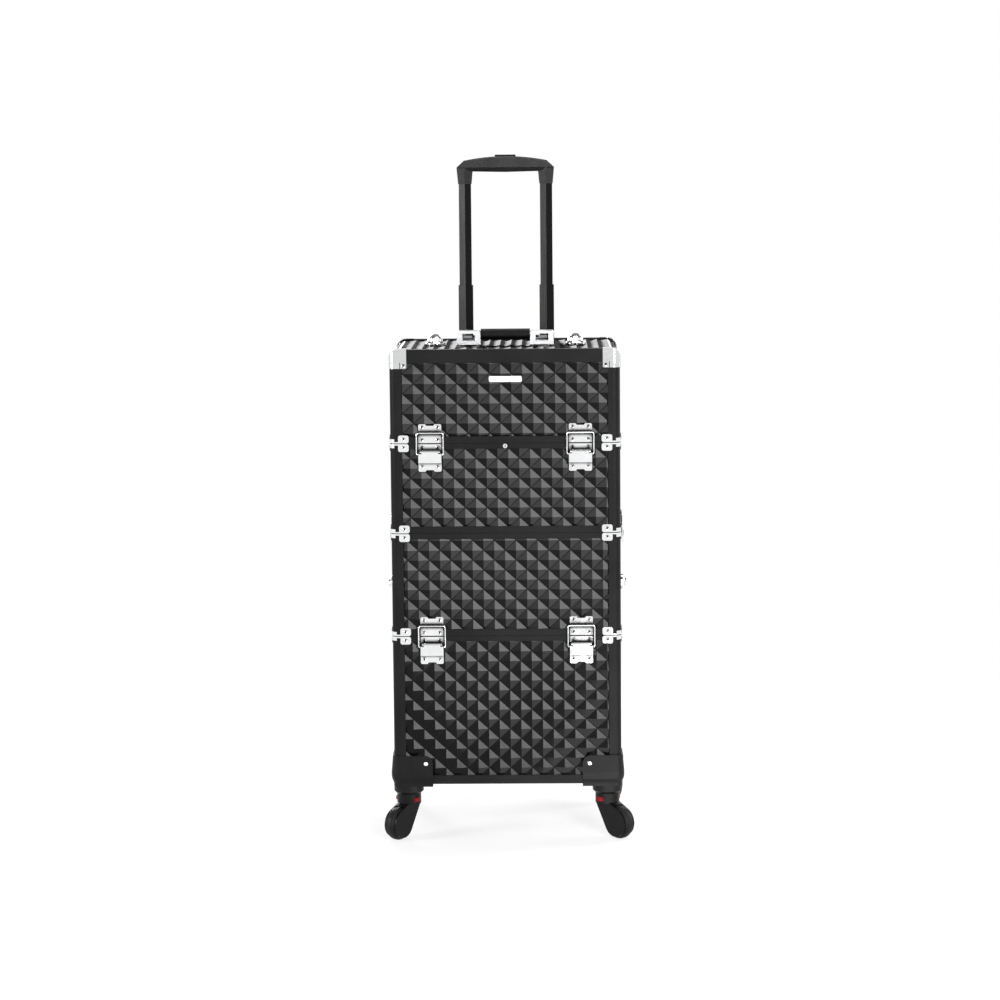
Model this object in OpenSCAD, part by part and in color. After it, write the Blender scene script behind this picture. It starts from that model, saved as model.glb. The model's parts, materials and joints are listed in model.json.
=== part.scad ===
// Rolling makeup case: four stacked tiers in aluminium profiles with diamond-pyramid panels,
// draw latches, lift-off hinges, a telescopic handle behind the case and four swivel casters.
// Millimetres. +Z is up, the front faces -Y, and the origin is on the floor under the middle of the case.

/* [Case] */
// Width of the case over the profiles
case_w = 340; // [300:1:400]
// Depth of the case over the profiles
case_d = 240; // [210:1:300]
// Height of the case's underside above the floor
ground_clear = 84; // [80:1:95]
// Height of the base, from its underside to the third seam
base_h = 224; // [190:1:260]
// Height of the middle tier
middle_h = 154; // [125:1:180]
// Height of the upper tier
upper_h = 134; // [115:1:170]
// Height of the lid
lid_h = 139; // [115:1:170]
// Radius of the upright corners
corner_r = 10; // [6:0.5:11]
// Radius of the lid's rounded side edges
lid_edge_r = 14; // [13:0.5:20]

/* [Walls] */
// Thickness of the lined wall boards
board_t = 5; // [3:0.5:6]
// Thickness of the floor boards
floor_t = 5; // [3:0.5:8]
// Height of a tier's floor above its lower edge
floor_up = 9; // [8:0.5:14]
// Height of the inner tongue above its seam
tongue_h = 6; // [3:0.5:7]
// Thickness of the inner tongue
tongue_t = 1.4; // [1:0.1:2]
// Depth that the tongue is fixed below its seam
tongue_root = 14; // [8:1:20]

/* [Pyramids] */
// Half the width of a diamond pyramid
pitch_x = 16.1; // [12:0.1:24]
// Half the height of a diamond pyramid
pitch_z = 14.7; // [11:0.1:20]
// Height of a pyramid above its valleys
relief = 3.2; // [1.5:0.1:4.5]
// Thickness of the sheet at its valleys
skin_t = 1; // [0.8:0.1:2]
// How far the pyramids' tips lie behind the profiles
skin_inset = 0.8; // [0.3:0.1:1.5]
// A tip on the base's sheets, from the left and the lower edge
base_tip = [11.8, 40.3]; // [0:0.1:45]
// A tip on the middle tier's sheets, from the left and the lower edge
middle_tip = [5.8, 29.5]; // [0:0.1:40]
// A tip on the upper tier's sheets, from the left and the lower edge
upper_tip = [27.8, 12.9]; // [0:0.1:40]
// A tip on the lid's front sheet, from the left and the upper edge
lid_tip = [0.7, 1.2]; // [0:0.1:40]

/* [Profiles] */
// Width of the upright profiles on the front
post_w = 18; // [14:0.5:24]
// Width of the upright profiles on the sides
return_w = 12; // [11.5:0.5:18]
// Height of the rim above a seam
rim_h = 10; // [8:0.5:14]
// Height of the rim below a seam
rim_top_h = 8; // [7:0.5:14]
// Height of the lid's top profile
lid_rail_h = 20; // [15:0.5:26]
// Height of the base's bottom profile
base_rail_h = 13; // [10:0.5:22]
// Thickness of the profile's foot over a board's edge
foot_t = 2; // [1:0.1:3]
// Gap between two closed tiers
seam_gap = 0.4; // [0.3:0.05:0.8]
// Gap of a butt joint between pieces of one tier
joint_gap = 0.1; // [0.05:0.05:0.2]

/* [Corner fittings] */
// Width of a lid corner cap
cap_w = 25.5; // [20:0.5:34]
// Height of a lid corner cap
cap_h = 28; // [22:0.5:36]
// Thickness of caps and clips
cap_t = 1.1; // [0.6:0.1:1.6]
// Reach of a seam clip from the corner
clip_reach = 27.7; // [24:0.1:29.5]
// Width of a seam clip's leaf
clip_leaf_w = 15.7; // [10:0.1:18]
// Height of a seam clip's leaf
clip_leaf_h = 11.6; // [8:0.1:15]
// Height of the strip between a seam clip's leaf and its corner
clip_strap_h = 2; // [1:0.1:4]
// Width of a seam clip's corner on each side
clip_corner_w = 6.5; // [4:0.1:9]
// Height of a seam clip's corner
clip_corner_h = 6; // [4:0.1:9]
// Radius of a rivet head
rivet_r = 2.8; // [1.5:0.1:3]
// Height of a rivet head
rivet_h = 1.1; // [0.5:0.1:1.2]

/* [Latches] */
// Distance of a front latch from the case's side
latch_in = 59; // [50:1:90]
// Width of the latch plates
latch_w = 34; // [28:0.5:44]
// Thickness of the latch plates
plate_t = 1.2; // [0.8:0.1:1.6]
// Height of the catch plate above the seam
catch_h = 29; // [26:0.5:40]
// Depth of the base plate below the seam
latch_base_h = 41.5; // [36:0.5:50]
// Depth of the lever's pin below the seam
lever_pin_z = 11.8; // [11:0.1:16]
// Distance of the lever's pin from the case
lever_pin_out = 4.5; // [4:0.1:6]
// Diameter of the lever's pin
lever_pin_d = 2.5; // [2:0.1:3]
// Length of the lever below its pin
lever_len = 16.5; // [12:0.5:20]
// Thickness of the lever's sheet
lever_t = 1.5; // [1:0.1:2]
// Drop of the bail's pivot below the lever's pin
bail_drop = 4.6; // [4.4:0.1:7]
// Diameter of the bail's wire
bail_d = 2; // [1.8:0.1:3]
// Height of the bail's top bar above the seam
bail_top = 16; // [12:0.5:18]
// Clear space between the bail's wires and the plates
bail_space = 1.75; // [1:0.05:3]
// Bend radius of the bail's wire
bail_bend = 3; // [2.5:0.1:4]

/* [Fits] */
// Radial clearance of a turning pin
pin_gap = 0.06; // [0.03:0.01:0.1]
// Clearance between moving pieces that slide past each other
slide_gap = 0.35; // [0.3:0.05:0.5]
// Clearance of a piece set in a socket
socket_gap = 0.05; // [0.03:0.01:0.1]

/* [Hinges] */
// Distance of a rear hinge from the case's side
hinge_in = 48; // [47:0.5:60]
// Width of a rear hinge
hinge_w = 36; // [28:1:40]
// Height of each hinge leaf
hinge_leaf_h = 27; // [18:1:36]
// Distance of the hinge pin behind the case
hinge_out = 7; // [6:0.5:10]
// Diameter of the hinge pin
hinge_pin_d = 5; // [4:0.1:6]
// Thickness of the hook around the hinge pin
hook_t = 2; // [1.5:0.1:2.5]

/* [Posts and key lock] */
// Distance of the top posts from the case's sides
top_post_in = 64; // [52:1:75]
// Height of the side posts above the floor of the middle tier
side_post_up = 62; // [40:1:70]
// Diameter of a post's flange
post_flange_d = 31; // [22:0.5:36]
// Height of a top post
top_post_h = 15.5; // [12:0.5:18]
// Height of a side post
side_post_h = 12.5; // [9:0.5:16]
// Diameter of the hole in a post
post_hole_d = 5.6; // [3:0.1:7]
// Diameter of the key lock
key_lock_d = 6.4; // [5:0.1:6.6]

/* [Carry grip] */
// Distance between the two brackets
bracket_space = 75; // [70:1:100]
// Width of a bracket
bracket_w = 35.5; // [30:0.5:44]
// Depth of a bracket
bracket_d = 24; // [20:0.5:30]
// Height of a bracket
bracket_h = 20.5; // [19.5:0.5:28]
// Width of a bracket's window
bracket_window_w = 19; // [16:0.5:26]
// Height of a bracket's window
bracket_window_h = 10.5; // [9:0.1:12]
// Height of the bracket's lower bar
bracket_sill_h = 6; // [4:0.1:7]
// Thickness of the carry grip
carry_t = 15.5; // [14:0.5:18]
// Depth of the carry grip
carry_d = 25; // [20:0.5:30]
// Height of the carry grip's top above the pyramids
carry_up = 23; // [21:0.5:26]
// Lift of the carry grip in its brackets
carry_lift = 2.5; // [1:0.1:3]
// Thickness of the grip's steel tongue
carry_tongue_t = 4; // [2:0.1:4.5]

/* [Trolley handle] */
// Width over the flats of the inner tubes
inner_af = 19; // [15:0.5:21]
// Wall of the handle tubes
tube_wall = 1.4; // [1:0.1:1.8]
// Height of the outer tubes' feet above the case's underside
outer_tube_foot = 6; // [4:1:10]
// Height of the outer tubes' tops above the floor
outer_tube_top = 504; // [440:1:540]
// Height of the middle tubes' tops above the floor
middle_tube_top = 817; // [790:1:840]
// Height of the grip's lower edge above the floor
grip_foot = 974; // [950:1:1010]
// Length of a tube that stays inside the next one
tube_hold = 60; // [40:1:66]
// Width of the grip
grip_w = 151; // [130:1:170]
// Width of a grip's leg at its elbow
grip_knee_w = 25; // [23:0.5:27]
// Depth of the grip
grip_d = 28; // [26:0.5:34]
// Height of the grip over its lower edge
grip_h = 42.5; // [40:0.5:48]
// Rise of the grip's arch
grip_arch = 6.5; // [4:0.5:8]
// Height of the grip's bar at its middle
grip_bar_h = 24.5; // [22:0.5:26]
// Height of the bevel under the grip's bar
grip_bevel = 7.8; // [4:0.1:9]
// Width of the release button
button_w = 32; // [20:1:40]
// Depth of the release button
button_d = 14; // [8:0.5:16]
// How far the release button stands out
button_out = 2.4; // [2.2:0.1:4]
// Travel of the release button
button_travel = 2; // [1:0.1:2.2]
// Height of a handle bracket
tube_bracket_h = 30; // [20:1:40]
// Wall of a handle bracket
tube_bracket_t = 4; // [3:0.5:6]

/* [Corner housings] */
// Width of a corner housing along each side
housing_w = 58; // [52:0.5:66]
// Height of a corner housing above the case's underside
housing_up = 43; // [36:1:60]
// Thickness of a corner housing's walls at their upper edge
housing_t = 2.2; // [1.5:0.1:3]
// Thickness of a corner housing's walls where they swell
housing_swell = 4.4; // [3:0.1:6]
// Thickness of a corner housing's bottom
housing_floor = 4; // [3:0.1:5]
// Radius of a leaf's rounded corner
housing_round = 12; // [4:0.5:16]
// Height of the caster's boss under the housing
boss_h = 13; // [10:0.5:14]
// Diameter of the caster's boss
boss_d = 44.5; // [42:0.5:46]

/* [Casters] */
// Distance of the swivel from the case's sides
swivel_in = 21; // [21:0.5:30]
// Diameter of a wheel
wheel_d = 49; // [44:0.5:50]
// Width of a wheel's tyre
wheel_w = 14; // [10:0.5:16]
// Diameter of a wheel's hub
hub_d = 18; // [14:0.5:24]
// Trail of the wheel behind its swivel
trail = 26; // [22:0.5:28]
// Diameter of the axle
axle_d = 6; // [4:0.1:8]
// Diameter of the fork's neck
neck_d = 36; // [32:0.5:40]
// Height of the fork's neck
neck_h = 15.5; // [14:0.5:16]
// Thickness of a fork cheek
cheek_t = 3; // [2:0.1:4]
// Diameter of a fork cheek around the axle
cheek_d = 42; // [32:0.5:43]
// Diameter of the swivel stem
stem_d = 10; // [8:0.1:12]
// Width of the lock bar
lock_bar_w = 10; // [6:0.5:12]
// Height of the lock bar
lock_bar_h = 6; // [4:0.5:7]
// How far the lock bar stands out of the neck
lock_bar_out = 0.8; // [0.5:0.1:2.5]
// Turn of the front left caster
turn_front_left = 235; // [0:1:360]
// Turn of the front right caster
turn_front_right = 312; // [0:1:360]
// Turn of the rear left caster
turn_rear_left = 115; // [0:1:360]
// Turn of the rear right caster
turn_rear_right = 65; // [0:1:360]

/* [Hidden] */
$fn = 48;
past = 1;      // how far a cutting shape runs past what it cuts
bite = 0.2;    // how far a fused detail reaches into what carries it
snap = 0.4;    // a line of the pattern this close to a sheet's edge lies on it
clip_gap = 0.4; // gap between a seam clip and its tier's edge

cover_t = skin_inset + relief + skin_t; // depth of the profiles and sheets outside the boards
wall_t = cover_t + board_t;
tongue_gap = 0.4;                       // space between a tongue and the boards that slide over it

z_base = ground_clear;
z_seam3 = z_base + base_h;
z_seam2 = z_seam3 + middle_h;
z_seam1 = z_seam2 + upper_h;
z_top = z_seam1 + lid_h;
base_z = [z_base, z_seam3];
middle_z = [z_seam3 + seam_gap, z_seam2];
upper_z = [z_seam2 + seam_gap, z_seam1];
lid_z = [z_seam1 + seam_gap, z_top];
tip_z = z_top - skin_inset;             // height of the pyramids' tips on the lid
bend_steps = 2;                         // flats of the lid's sheet round each edge
bend_flat_r = (lid_edge_r - cover_t) * cos(45 / bend_steps); // distance of those flats from the edge's centre

latch_x = case_w / 2 - latch_in;
barrel_wall = 1.15;
lever_barrel_r = lever_pin_d / 2 + barrel_wall;
ear_t = 2;
ear_x = latch_w / 2 - lever_t - slide_gap * 2 - ear_t;  // inner face of a latch ear
bail_pivot_z = lever_pin_z + bail_drop;
bail_offset = 0.2;
bail_out = lever_pin_out + bail_offset; // distance of the bail's wire from the case
bail_x = latch_w / 2 + bail_space + bail_d / 2;

hinge_x = case_w / 2 - hinge_in;
top_post_x = case_w / 2 - top_post_in;
hook_r = hinge_pin_d / 2 + hook_t;
hinge_ear_t = 4;
hinge_leaf_t = 1.5;

tube_x = (grip_w - grip_knee_w) / 2;    // distance of a handle tube from the middle
middle_af = inner_af + 2 * (slide_gap + tube_wall);
outer_af = middle_af + 2 * (slide_gap + tube_wall);
outer_corner = outer_af / sqrt(3);
tube_y = case_d / 2 + tube_bracket_t + outer_corner;
tube_bracket_side = 6;                  // width of a handle bracket beside its tube
tube_bracket_w = outer_af + 2 * tube_bracket_side;
grip_top = grip_foot + grip_h;
grip_side = 0.9;                        // thickness of the grip's legs beside the tubes
grip_shoulder = 11.3;                   // the grip's arch starts this far from its ends
grip_edge = 4;                          // chamfer round the grip's faces
button_root = 5;                        // depth of the button inside the grip
button_spare = 0.8;
button_room = button_travel + button_spare;

swivel_x = case_w / 2 - swivel_in;
swivel_y = case_d / 2 - swivel_in;
boss_foot = z_base - housing_floor - boss_h;
swivel_gap = 0.4;                       // space between a boss and its fork
neck_top = boss_foot - swivel_gap;
neck_foot = neck_top - neck_h;
axle_z = wheel_d / 2;
cheek_gap = 0.8;                        // space between a tyre and a cheek
fork_w = wheel_w + 2 * (cheek_t + cheek_gap);
fork_gap = fork_w - 2 * cheek_t;
wheel_room = 1;                         // space round the tyre inside the fork
lock_bar_drop = 5.4;                    // depth of the lock bar below the neck's top
lock_bar_z = neck_top - lock_bar_drop - lock_bar_h;
lock_bar_x = 3;                         // the bar lies a little behind the swivel
hub_gap = 0.3;
tyre_edge = 3;
tyre_round = 0.7;
boss_taper = 7.5;
housing_foot_t = 0.9;                   // thickness of a housing's wall below the case
stem_short = 0.5;                       // the stem ends below the housing's floor

carry_x0 = bracket_space / 2;
carry_tongue_d = bracket_d / 2;
carry_root = 12;                        // length of a tongue inside the grip
bracket_mid = carry_x0 + bracket_w / 2;
carry_tongue_z = tip_z + bracket_sill_h + bracket_window_h - slide_gap - carry_lift - carry_tongue_t;
carry_foot = tip_z + carry_up - carry_t;

module box(x, y, z) {
    translate([x[0], y[0], z[0]]) cube([x[1] - x[0], y[1] - y[0], z[1] - z[0]]);
}

module rounded_block(w, d, r, z) {
    translate([0, 0, z[0]]) linear_extrude(z[1] - z[0]) {
        square([w - 2 * r, d], center = true);
        square([w, d - 2 * r], center = true);
        for (x = [-1, 1], y = [-1, 1])
            translate([x * (w / 2 - r), y * (d / 2 - r)]) circle(r = r);
    }
}

// The case's outline grown outwards on its upright faces
module case_block(grow, z) {
    rounded_block(case_w + 2 * grow, case_d + 2 * grow, corner_r + grow, z);
}

// The lid's front outline, with its two rounded edges, pulled in and drawn from front to rear
module lid_block(inset, y, z_low) {
    r = lid_edge_r - inset;
    edge_x = case_w / 2 - lid_edge_r;
    edge_z = z_top - lid_edge_r;
    box([-case_w / 2 + inset, case_w / 2 - inset], y, [z_low, edge_z]);
    box([-edge_x, edge_x], y, [z_low, z_top - inset]);
    for (x = [-edge_x, edge_x])
        translate([x, y[0], edge_z]) rotate([-90, 0, 0]) cylinder(r = r, h = y[1] - y[0]);
}

// Places on the faces of the case, with -Y pointing away from the case
module on_front(x, z) {
    translate([x, -case_d / 2, z]) children();
}

module on_side(side, z) {
    rotate([0, 0, 90 * side]) translate([0, -case_w / 2, z]) children();
}

module on_rear(x, z) {
    rotate([0, 0, 180]) translate([-x, -case_d / 2, z]) children();
}

module both_faces() {
    for (turn = [0, 180]) rotate([0, 0, turn]) children();
}

// A domed rivet head with a hollow, on the plane y = 0, standing out towards -Y
module rivet_head() {
    dome_r = (rivet_r * rivet_r + rivet_h * rivet_h) / (2 * rivet_h);
    hollow_r = rivet_r * 0.38;
    translate([0, bite, 0]) rotate([90, 0, 0]) cylinder(r = rivet_r - bite, h = 2 * bite);
    difference() {
        rotate([90, 0, 0]) rotate_extrude() intersection() {
            translate([0, rivet_h - dome_r]) circle(r = dome_r);
            square([rivet_r, rivet_h]);
        }
        translate([0, -rivet_h * 0.4, 0]) rotate([90, 0, 0]) cylinder(r = hollow_r, h = rivet_h);
    }
}

// A sheet of staggered diamond pyramids, lying in XY with its back at z = 0, cut from an endless pattern
// with a tip at the given place. Points of the pattern with an even index sum are tips and the others are
// low. Each cell is split along the valley between its two low points, then trimmed to the sheet's edges.
function reversed(list) = [for (i = [len(list) - 1:-1:0]) list[i]];
function is_tip(i, j) = (i + j) % 2 == 0;
function onto(p, axis, limit) = axis == 0 ? [limit, p[1], p[2]] : [p[0], limit, p[2]];
function trimmed(face, axis, limit, side) = len(face) < 3 ? [] : [for (k = [0:len(face) - 1])
    let (a = face[k], b = face[(k + 1) % len(face)],
         in_a = side * (limit - a[axis]), in_b = side * (limit - b[axis]),
         near = in_a > in_b ? a : b, far = in_a > in_b ? b : a,
         most = max(in_a, in_b), least = min(in_a, in_b))
    each concat(in_a < 0 ? [] : [a], most <= 0 || least >= 0 ? [] :
                [onto(near + (far - near) * most / (most - least), axis, limit)])];
function snapped(v, size) = abs(v) < snap ? 0 : abs(v - size) < snap ? size : v;

module pyramid_sheet(w, h, tip) {
    function spot(i, j) = [snapped(tip[0] + i * pitch_x, w), snapped(tip[1] + j * pitch_z, h),
                           skin_t + (is_tip(i, j) ? relief : 0)];
    function halves(i, j) =
        let (a = spot(i, j), b = spot(i + 1, j), c = spot(i + 1, j + 1), d = spot(i, j + 1))
        is_tip(i, j) ? [[a, b, d], [b, c, d]] : [[a, b, c], [a, c, d]];
    function on_edge(a, b) = (a[0] == b[0] && (a[0] == 0 || a[0] == w)) ||
                             (a[1] == b[1] && (a[1] == 0 || a[1] == h));
    function flat(p) = [p[0], p[1], 0];
    middle = [w / 2, h / 2, 0];
    front = [for (i = [floor(-tip[0] / pitch_x):ceil((w - tip[0]) / pitch_x) - 1],
                  j = [floor(-tip[1] / pitch_z):ceil((h - tip[1]) / pitch_z) - 1],
                  half = halves(i, j))
        let (f = trimmed(trimmed(trimmed(trimmed(half, 0, 0, -1), 0, w, 1), 1, 0, -1), 1, h, 1))
        if (len(f) > 2) f];
    edges = [for (f = front, k = [0:len(f) - 1])
        let (a = f[k], b = f[(k + 1) % len(f)])
        if (on_edge(a, b)) each [[flat(a), flat(b), b, a], [middle, flat(b), flat(a)]]];
    faces = concat(front, edges);
    polyhedron(points = [for (f = faces) each f],
               faces = [for (k = 0, n = 0; k < len(faces); n = n + len(faces[k]), k = k + 1)
                        [for (m = [len(faces[k]) - 1:-1:0]) n + m]]);
}

// The lid's sheet, bent over the top from one side to the other: the same pyramids along a path of
// steps, each a point on the boards and the direction away from them. Its clamped ends are flat.
module bent_pyramid_sheet(z_low, half_d) {
    edge_x = case_w / 2 - lid_edge_r;
    edge_z = z_top - lid_edge_r;
    bend_r = lid_edge_r - cover_t;
    side_steps = round((edge_z - z_low) / pitch_x);
    top_steps = round(2 * edge_x / pitch_x);
    cols = round(2 * half_d / pitch_z);
    side = [for (i = [0:side_steps - 1])
        [[-edge_x - bend_r, z_low + i * (edge_z - z_low) / side_steps], [-1, 0]]];
    bend = [for (i = [0:bend_steps - 1])
        let (turn = 180 - 90 * i / bend_steps)
        [[-edge_x + bend_r * cos(turn), edge_z + bend_r * sin(turn)], [cos(turn), sin(turn)]]];
    top = [for (i = [0:top_steps]) [[-edge_x + 2 * edge_x * i / top_steps, edge_z + bend_r], [0, 1]]];
    mirrored = [for (p = reversed(concat(side, bend))) [[-p[0][0], p[0][1]], [-p[1][0], p[1][1]]]];
    path = concat(side, bend, top, mirrored);
    steps = len(path) - 1;
    row = cols + 1;
    function at(k, j) = k * row + j;
    function lift(k, j) = skin_t + (k > 0 && k < steps && is_tip(k, j) ? relief : 0);
    function spot(k, j, out) = [path[k][0][0] + out * path[k][1][0], -half_d + 2 * half_d * j / cols,
                                path[k][0][1] + out * path[k][1][1]];
    front = [for (k = [0:steps], j = [0:cols]) spot(k, j, lift(k, j))];
    back = [for (k = [0:steps]) each [spot(k, 0, 0), spot(k, cols, 0)]];
    first = len(front);
    function near(k) = first + 2 * k;
    function far(k) = first + 2 * k + 1;
    cells = [for (k = [0:steps - 1], j = [0:cols - 1])
        each is_tip(k, j)
            ? [[at(k, j), at(k + 1, j), at(k, j + 1)], [at(k + 1, j), at(k + 1, j + 1), at(k, j + 1)]]
            : [[at(k, j), at(k + 1, j), at(k + 1, j + 1)], [at(k, j), at(k + 1, j + 1), at(k, j + 1)]]];
    strips = [for (k = [0:steps - 1])
        each [[near(k), far(k), far(k + 1), near(k + 1)],
              [near(k), near(k + 1), at(k + 1, 0), at(k, 0)],
              [far(k + 1), far(k), at(k, cols), at(k + 1, cols)]]];
    ends = [concat([near(0)], [for (j = [0:cols]) at(0, j)], [far(0)]),
            concat([far(steps)], [for (j = [cols:-1:0]) at(steps, j)], [near(steps)])];
    polyhedron(points = concat(front, back), faces = [for (f = concat(cells, strips, ends)) reversed(f)]);
}

// One front or rear frame of a tier: two upright profiles and two rails with feet over the board's edges
module face_frame(z, low_h, high_h) {
    front = -case_d / 2;
    difference() {
        intersection() {
            case_block(0, z);
            box([-case_w, case_w], [front - past, front + return_w], z);
        }
        box([-case_w / 2 + cover_t, case_w / 2 - cover_t], [front + cover_t, front + return_w + past],
            [z[0] + foot_t, z[1] - foot_t]);
        box([-case_w / 2 + cover_t, case_w / 2 - cover_t], [front + wall_t, front + return_w + past],
            [z[0] - past, z[1] + past]);
        box([-case_w / 2 + post_w, case_w / 2 - post_w], [front - past, front + cover_t + past],
            [z[0] + low_h, z[1] - high_h]);
    }
}

// A rail along one side between the upright profiles; up is 1 for a lower rail and -1 for an upper one
module side_rail(side, edge_z, up, h) {
    half = case_d / 2 - return_w - joint_gap;
    leg = up > 0 ? [edge_z, edge_z + h] : [edge_z - h, edge_z];
    foot = up > 0 ? [edge_z, edge_z + foot_t] : [edge_z - foot_t, edge_z];
    rotate([0, 0, 90 * side]) {
        box([-half, half], [-case_w / 2, -case_w / 2 + cover_t], leg);
        box([-half, half], [-case_w / 2 + cover_t - bite, -case_w / 2 + wall_t], foot);
    }
}

module tier_frame(z, low_h) {
    both_faces() face_frame(z, low_h, rim_top_h);
    for (side = [-1, 1]) {
        side_rail(side, z[0], 1, low_h);
        side_rail(side, z[1], -1, rim_top_h);
    }
}

// Lined boards of an open box: front, rear, two sides, a floor and the tongue that locates the tier above
module tier_walls(z, floor_rise) {
    board_z = [z[0] + foot_t, z[1] - foot_t];
    inner_x = case_w / 2 - wall_t;
    inner_y = case_d / 2 - wall_t;
    tongue_x = inner_x - tongue_gap;
    tongue_y = inner_y - tongue_gap;
    tongue_z = [z[1] - tongue_root, z[1] + tongue_h];
    both_faces() {
        box([-inner_x - board_t, inner_x + board_t], [-inner_y - board_t, -inner_y], board_z);
        box([-inner_x - board_t, -inner_x], [-inner_y + joint_gap, inner_y - joint_gap], board_z);
        box([-tongue_x, tongue_x], [-tongue_y, -tongue_y + tongue_t], tongue_z);
        box([-tongue_x, -tongue_x + tongue_t],
            [-tongue_y + tongue_t + joint_gap, tongue_y - tongue_t - joint_gap], tongue_z);
    }
    box([-inner_x + joint_gap, inner_x - joint_gap], [-inner_y + joint_gap, inner_y - joint_gap],
        [z[0] + floor_rise, z[0] + floor_rise + floor_t]);
}

module sheet_on_face(half_w, depth, z, tip) {
    translate([-half_w, -depth + cover_t, z[0]]) rotate([90, 0, 0])
        pyramid_sheet(2 * half_w, z[1] - z[0], tip);
}

module tier_skin(z, low_h, tip) {
    sheet_z = [z[0] + low_h + joint_gap, z[1] - rim_top_h - joint_gap];
    both_faces() {
        sheet_on_face(case_w / 2 - post_w - joint_gap, case_d / 2, sheet_z, tip);
        rotate([0, 0, 90]) sheet_on_face(case_d / 2 - return_w - joint_gap, case_w / 2, sheet_z, tip);
    }
}

// A leaf with rounded corners on the rear face, its middle at x and z
module clip_leaf(x, z) {
    r = clip_leaf_h * 0.28;
    translate([x, case_d / 2 + cap_t, z]) rotate([90, 0, 0]) linear_extrude(cap_t) {
        square([clip_leaf_w - 2 * r, clip_leaf_h], center = true);
        square([clip_leaf_w, clip_leaf_h - 2 * r], center = true);
        for (i = [-1, 1], j = [-1, 1])
            translate([i * (clip_leaf_w / 2 - r), j * (clip_leaf_h / 2 - r)]) circle(r = r);
    }
    translate([x, case_d / 2 + cap_t, z]) rotate([0, 0, 180]) rivet_head();
}

// Part of a thin shell round the case's corner, reaching the same way along both sides
module corner_shell(reach, z) {
    intersection() {
        difference() {
            case_block(cap_t, z);
            case_block(0, [z[0] - past, z[1] + past]);
        }
        box([case_w / 2 - reach, case_w], [case_d / 2 - reach, case_d], z);
    }
}

// Half of a chrome corner clip beside a seam: two riveted leaves, a corner and the strip that joins them
module seam_clips(seam_z, up) {
    edge = seam_z + up * clip_gap;
    leaf_in = clip_reach - clip_leaf_w / 2;
    leaf_z = edge + up * clip_leaf_h / 2;
    for (x = [0, 1], y = [0, 1]) mirror([x, 0, 0]) mirror([0, y, 0]) {
        corner_shell(leaf_in, [min(edge, edge + up * clip_strap_h), max(edge, edge + up * clip_strap_h)]);
        corner_shell(clip_corner_w,
                     [min(edge, edge + up * clip_corner_h), max(edge, edge + up * clip_corner_h)]);
        clip_leaf(case_w / 2 - leaf_in, leaf_z);
        translate([case_w / 2 - case_d / 2, 0, 0]) rotate([0, 0, -90]) mirror([1, 0, 0])
            clip_leaf(case_d / 2 - leaf_in, leaf_z);
    }
}

// Latch pieces, in a frame on the case's face with the seam at z = 0 and -Y away from the case
module latch_plate(z) {
    corner = 1.6;
    notch_h = 2.4;
    notch = [latch_w * 0.206, latch_w * 0.155]; // half its width at the edge and at its root
    half = [[latch_w / 2, z[0]], [latch_w / 2, z[1] - corner], [latch_w / 2 - corner, z[1]],
        [notch[0], z[1]], [notch[1], z[1] - notch_h]];
    rotate([90, 0, 0]) linear_extrude(plate_t)
        polygon(concat(half, [for (k = [4:-1:0]) [-half[k][0], half[k][1]]]));
}

module latch_rivets(z) {
    for (x = [-1, 1]) translate([x * latch_w * 0.34, -plate_t, z]) rivet_head();
}

module latch_catch() {
    foot = 1;
    seat_t = 1.5;
    latch_plate([foot, catch_h]);
    box([-latch_w / 2, latch_w / 2], [-plate_t - seat_t, -plate_t + bite],
        [bail_top - bail_d, bail_top + bail_d * 0.9]);
    latch_rivets(catch_h - 4.5);
    latch_rivets(5.5);
}

module latch_base() {
    head = 0.8;
    mirror([0, 0, 1]) latch_plate([head, latch_base_h]);
    latch_rivets(-5.2);
    latch_rivets(-latch_base_h + 7);
    for (side = [-1, 1]) {
        x = side > 0 ? [ear_x, ear_x + ear_t] : [-ear_x - ear_t, -ear_x];
        box(x, [-lever_pin_out, -plate_t + bite],
            [-lever_pin_z - lever_barrel_r, -lever_pin_z + lever_barrel_r]);
        translate([x[0], -lever_pin_out, -lever_pin_z]) rotate([0, 90, 0])
            cylinder(r = lever_barrel_r, h = ear_t);
    }
    translate([-ear_x - bite, -lever_pin_out, -lever_pin_z]) rotate([0, 90, 0])
        cylinder(d = lever_pin_d, h = 2 * (ear_x + bite));
}

module latch_lever() {
    front = -lever_pin_out - lever_barrel_r - 0.1;
    barrel_x = ear_x - slide_gap;
    head = -lever_pin_z - lever_barrel_r - slide_gap - 0.3;
    tip = -lever_pin_z - lever_len;
    flange_back = -bail_out + bail_d / 2 + 1;
    flange_head = -bail_pivot_z + bail_d / 2 + 1.2;
    difference() {
        union() {
            translate([-barrel_x, -lever_pin_out, -lever_pin_z]) rotate([0, 90, 0])
                cylinder(r = lever_barrel_r, h = 2 * barrel_x);
            box([-barrel_x, barrel_x], [front, front + lever_t],
                [head - bite, -lever_pin_z - lever_pin_d / 4]);
            box([-latch_w / 2, latch_w / 2], [front, front + lever_t], [tip, head]);
            for (x = [-latch_w / 2, latch_w / 2 - lever_t])
                box([x, x + lever_t], [front, flange_back], [tip, flange_head]);
        }
        translate([-latch_w, -lever_pin_out, -lever_pin_z]) rotate([0, 90, 0])
            cylinder(r = lever_pin_d / 2 + pin_gap, h = 2 * latch_w);
        for (side = [0, 1]) mirror([side, 0, 0])
            translate([latch_w / 2 - lever_t - 2 * slide_gap, -bail_out, -bail_pivot_z]) rotate([0, 90, 0])
            cylinder(r = bail_d / 2 + pin_gap, h = lever_t + 2 * slide_gap + past);
    }
}

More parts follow.
